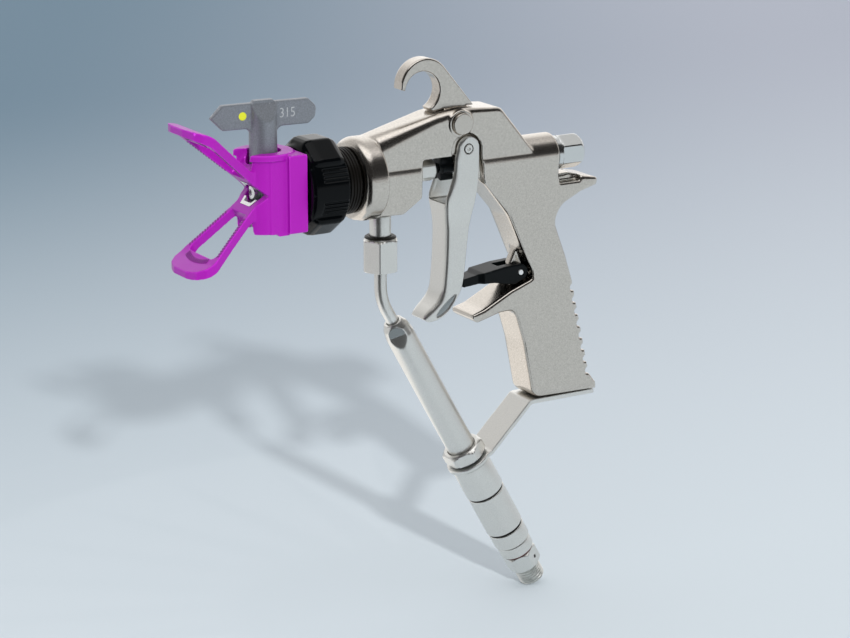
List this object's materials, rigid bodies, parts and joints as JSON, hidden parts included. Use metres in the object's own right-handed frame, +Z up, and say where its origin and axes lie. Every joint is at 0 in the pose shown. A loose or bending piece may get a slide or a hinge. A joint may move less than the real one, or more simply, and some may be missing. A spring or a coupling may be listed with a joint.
{
  "type": "airless paint spray gun",
  "caption": "Metal airless paint spray gun with a hanging hook, two-wing tip guard, reversible T-handle tip, trigger lock and slanted in-line fluid filter.",
  "frame": {"origin": "crown of the hanging hook's inner curve, on the gun's middle plane", "axes": "+X is the spray direction along the needle, +Y is the gun's left side, +Z is up"},
  "size_m": [0.2254, 0.0406, 0.2757],
  "materials": {
    "forged_nickel": "forged and tumbled, satin nickel sheen with a fine grain",
    "blasted_steel": "bead-blasted stainless steel",
    "polished_steel": "bright turned steel",
    "black_plastic": "glass-filled nylon, dark and glossy",
    "black_rubber": "dark sealing rubber",
    "guard_plastic": "magenta injection-moulded plastic",
    "tip_steel": "grey sintered steel",
    "carbide": "ground tungsten carbide",
    "seal_plastic": "pale engineering plastic"
  },
  "bodies": {
    "gun": {"gun_body": "forged_nickel", "hanging_hook": "forged_nickel", "hook_pin": "forged_nickel", "fluid_head": "polished_steel", "collar_ring": "black_rubber", "valve_seat": "carbide", "packing_seals": "seal_plastic", "packing_nut": "blasted_steel", "rear_cap": "polished_steel", "needle_spring": "polished_steel", "trigger_pin": "blasted_steel", "lock_pin": "polished_steel", "fluid_nipple": "blasted_steel", "union_nut": "blasted_steel", "feed_pipe": "blasted_steel", "filter_housing": "blasted_steel", "filter_screen": "polished_steel", "filter_nut": "blasted_steel", "filter_cap": "blasted_steel", "cap_seal": "black_rubber", "tube_bracket": "blasted_steel", "bracket_screw_front": "polished_steel", "bracket_screw_rear": "polished_steel", "swivel_body": "blasted_steel", "swivel_seal": "black_rubber", "swivel_ring": "blasted_steel", "thrust_ring": "blasted_steel", "dust_seal": "black_rubber"},
    "trigger_body": {"trigger": "blasted_steel"},
    "needle": {"needle_rod": "polished_steel", "needle_star": "black_plastic", "needle_plunger": "polished_steel"},
    "lock_lever": {"trigger_lock": "black_plastic"},
    "hand_nut": {"retaining_nut": "black_plastic"},
    "guard": {"tip_guard": "guard_plastic", "tip_gasket": "seal_plastic", "tip_seat": "polished_steel"},
    "tip": {"reversible_tip": "tip_steel", "spray_orifice": "carbide"},
    "hose_end": {"hose_connector": "blasted_steel"}
  },
  "joints": [
    {"name": "trigger_pull", "type": "hinge", "parent": "gun", "child": "trigger_body", "pos_m": [-0.0221, 0, -0.0383], "axis": [0, 1, 0], "range_deg": [0, 8.5], "stiffness_Nm_per_rad": 2, "springref_deg": -8.59},
    {"name": "needle_slide", "type": "slide", "parent": "gun", "child": "needle", "axis": [-1, 0, 0], "range_m": [0, 0.0021], "deforming": ["needle_spring"]},
    {"name": "lock_swing", "type": "hinge", "parent": "gun", "child": "lock_lever", "pos_m": [-0.0539, 0, -0.1037], "axis": [0, -1, 0], "range_deg": [0, 60]},
    {"name": "nut_turn", "type": "hinge", "parent": "gun", "child": "hand_nut", "pos_m": [0.057, 0, -0.0481], "axis": [1, 0, 0], "continuous": true},
    {"name": "guard_turn", "type": "hinge", "parent": "gun", "child": "guard", "pos_m": [0.0593, 0, -0.0481], "axis": [1, 0, 0], "range_deg": [-90, 90]},
    {"name": "tip_turn", "type": "hinge", "parent": "guard", "child": "tip", "pos_m": [0.0834, 0, -0.0481], "axis": [0, 0, 1], "range_deg": [0, 180]},
    {"name": "hose_swivel", "type": "hinge", "parent": "gun", "child": "hose_end", "pos_m": [-0.04721, 0, -0.23049], "axis": [-0.4894, 0, -0.8721], "continuous": true}
  ],
  "couplings": [
    {"joint": "needle_slide", "follows": "trigger_pull", "m_per_rad": 0.014}
  ]
}
